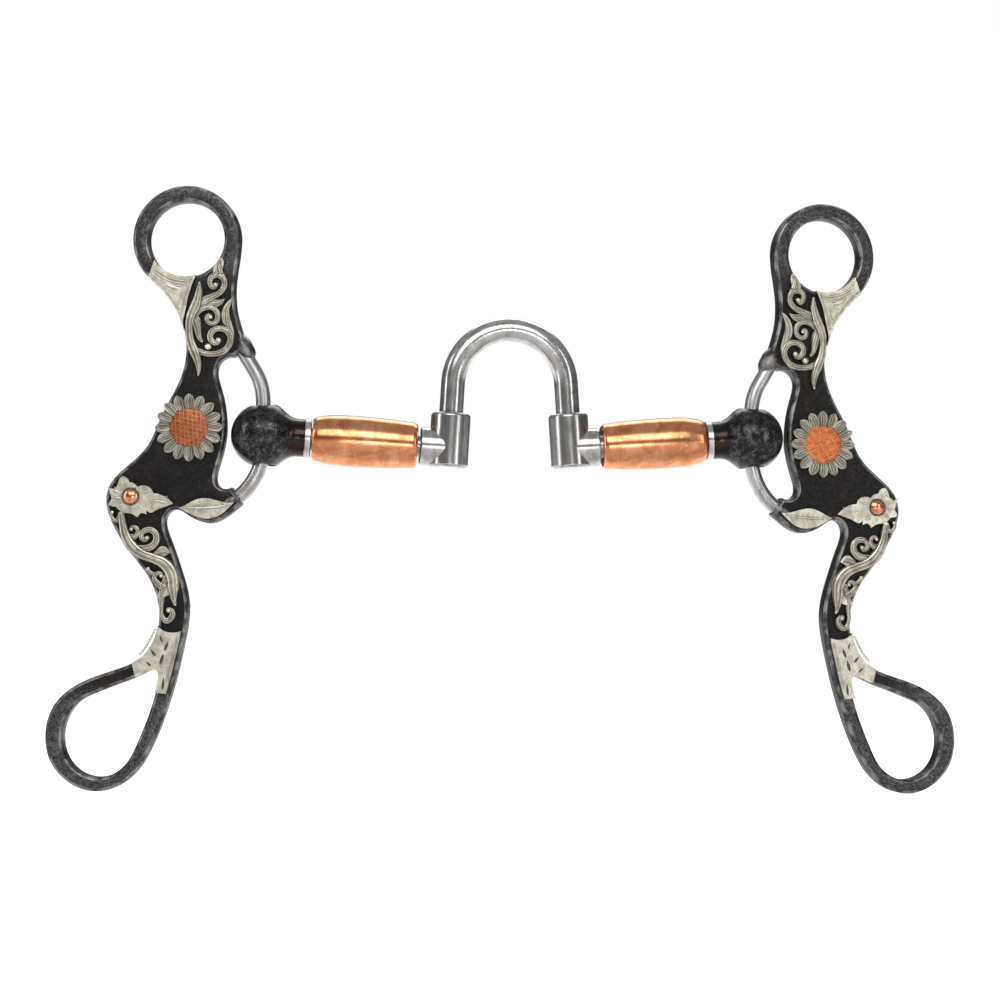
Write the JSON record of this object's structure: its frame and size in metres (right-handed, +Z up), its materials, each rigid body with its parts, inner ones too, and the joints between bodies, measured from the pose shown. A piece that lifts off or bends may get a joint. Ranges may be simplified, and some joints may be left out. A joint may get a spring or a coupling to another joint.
{
  "type": "curb bit",
  "caption": "Western curb bit: engraved swinging cheeks with headstall rings and rein loops, ball hubs, copper bars and a jointed arched port.",
  "frame": {"origin": "middle of the mouthpiece, halfway between the two ball hubs on the line through their centres", "axes": "+X across the mouth from the left cheek of the picture to the right one, +Z up towards the headstall rings, decorated faces towards -Y at rest"},
  "size_m": [0.2462, 0.0179, 0.1635],
  "materials": {
    "browned_steel": "antiqued, satin",
    "bright_steel": "polished, hand finished",
    "silver": "engraved german silver",
    "copper": "bright copper"
  },
  "bodies": {
    "port": {"port": "bright_steel"},
    "left_bar": {"left_elbow": "bright_steel", "left_bar_core": "bright_steel", "left_collar": "bright_steel", "left_ball_hub": "browned_steel"},
    "left_roller": {"left_copper_roller": "copper"},
    "left_cheek": {"left_cheek_plate": "browned_steel", "left_loop_rod": "bright_steel", "left_ring_panel": "silver", "left_rein_panel": "silver", "left_neck_scroll": "silver", "left_sunflower_petals": "silver", "left_sunflower_disc": "copper", "left_lug_leaf": "silver", "left_knee_flower": "silver", "left_knee_bead": "copper", "left_shank_scroll": "silver"},
    "right_bar": {"right_elbow": "bright_steel", "right_bar_core": "bright_steel", "right_collar": "bright_steel", "right_ball_hub": "browned_steel"},
    "right_roller": {"right_copper_roller": "copper"},
    "right_cheek": {"right_cheek_plate": "browned_steel", "right_loop_rod": "bright_steel", "right_ring_panel": "silver", "right_rein_panel": "silver", "right_neck_scroll": "silver", "right_sunflower_petals": "silver", "right_sunflower_disc": "copper", "right_lug_leaf": "silver", "right_knee_flower": "silver", "right_knee_bead": "copper", "right_shank_scroll": "silver"}
  },
  "joints": [
    {"name": "left_port_hinge", "type": "hinge", "parent": "port", "child": "left_bar", "pos_m": [-0.01635, 0, -0.00304], "axis": [-0.061, 0, -0.9981], "range_deg": [-30, 30]},
    {"name": "left_roller_spin", "type": "hinge", "parent": "left_bar", "child": "left_roller", "pos_m": [-0.03905, 0, -0.00165], "axis": [-0.9981, 0, 0.061], "continuous": true},
    {"name": "left_cheek_swing", "type": "hinge", "parent": "left_bar", "child": "left_cheek", "pos_m": [-0.066, 0, 0], "axis": [0, 0, -1], "range_deg": [-120, 120]},
    {"name": "right_port_hinge", "type": "hinge", "parent": "port", "child": "right_bar", "pos_m": [0.01635, 0, -0.00304], "axis": [-0.061, 0, 0.9981], "range_deg": [-30, 30]},
    {"name": "right_roller_spin", "type": "hinge", "parent": "right_bar", "child": "right_roller", "pos_m": [0.03905, 0, -0.00165], "axis": [0.9981, 0, 0.061], "continuous": true},
    {"name": "right_cheek_swing", "type": "hinge", "parent": "right_bar", "child": "right_cheek", "pos_m": [0.066, 0, 0], "axis": [0, 0, 1], "range_deg": [-120, 120]}
  ]
}
